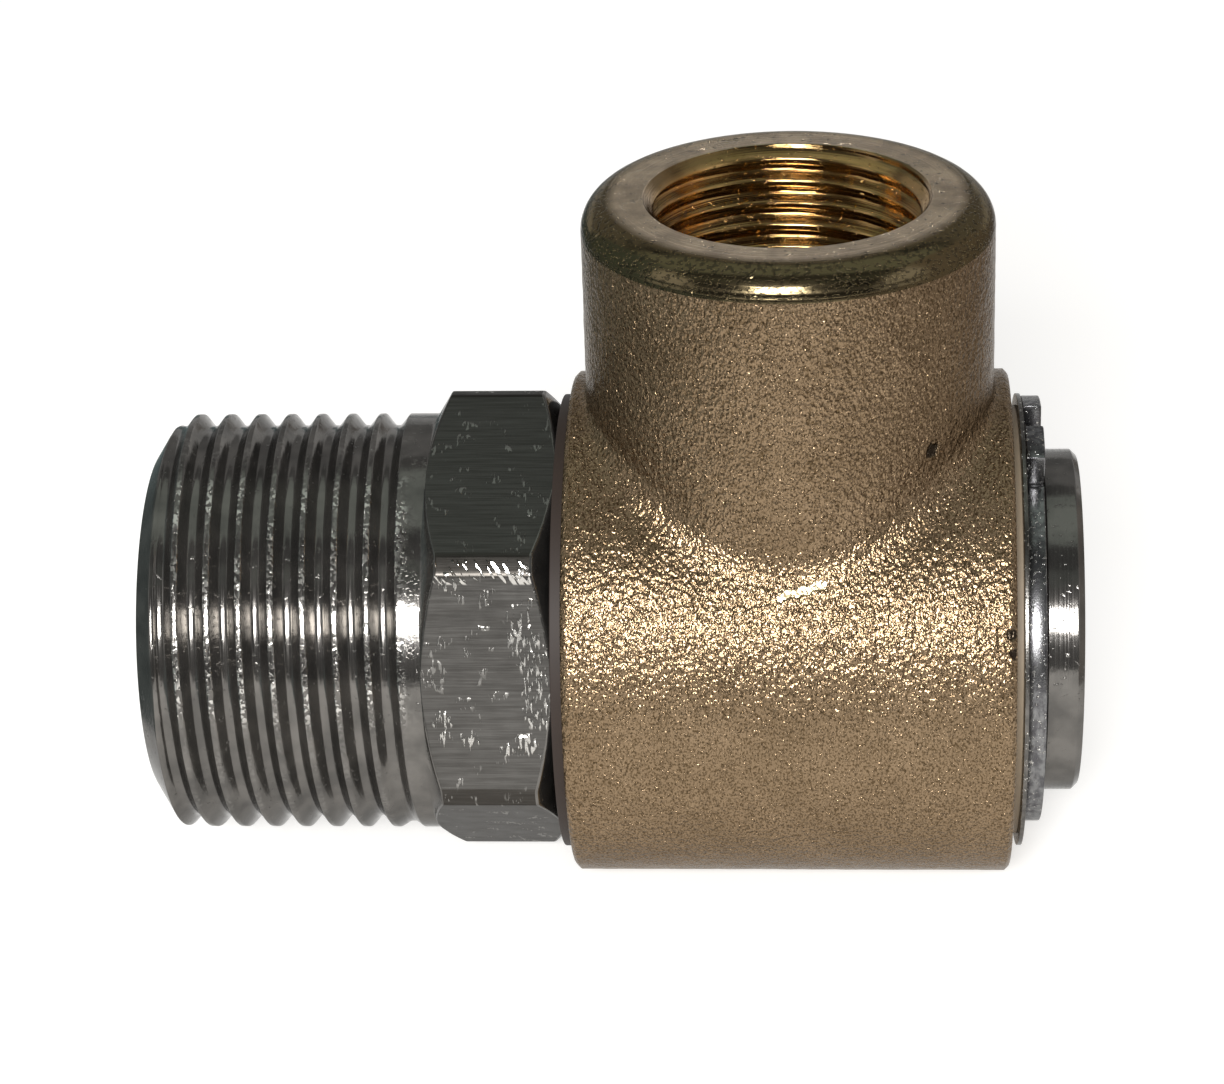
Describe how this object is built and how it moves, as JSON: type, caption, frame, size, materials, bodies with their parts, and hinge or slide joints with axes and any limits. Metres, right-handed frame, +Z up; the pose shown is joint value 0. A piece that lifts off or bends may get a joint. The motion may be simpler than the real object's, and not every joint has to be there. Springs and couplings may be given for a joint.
{
  "type": "hydraulic swivel joint",
  "caption": "Right-angle hydraulic swivel joint: a brass body with a threaded port turns on a plated steel stem with a male thread and a hexagon.",
  "frame": {"origin": "centre of the hexagon's shoulder face, where the male thread ends", "axes": "+X along the stem from the male thread towards the circlip, +Z up the port"},
  "size_m": [0.0592, 0.0324, 0.0457],
  "materials": {
    "plated_steel": "bright nickel plate",
    "seal_rubber": "matt",
    "backup_plastic": "matt",
    "thrust_plastic": "matt",
    "washer_steel": "bright",
    "spring_steel": "bright",
    "blasted_brass": "blasted, machined at the ends and the port"
  },
  "bodies": {
    "stem": {"swivel_stem": "plated_steel", "thread_side_o_ring": "seal_rubber", "thread_side_backup_ring": "backup_plastic", "end_side_o_ring": "seal_rubber", "end_side_backup_ring": "backup_plastic", "hex_side_washer": "thrust_plastic", "end_side_washer": "thrust_plastic", "steel_washer": "washer_steel", "circlip": "spring_steel"},
    "housing": {"swivel_body": "blasted_brass"}
  },
  "joints": [
    {"name": "swivel", "type": "hinge", "parent": "stem", "child": "housing", "pos_m": [0.02275, 0, 0], "axis": [1, 0, 0], "continuous": true}
  ]
}
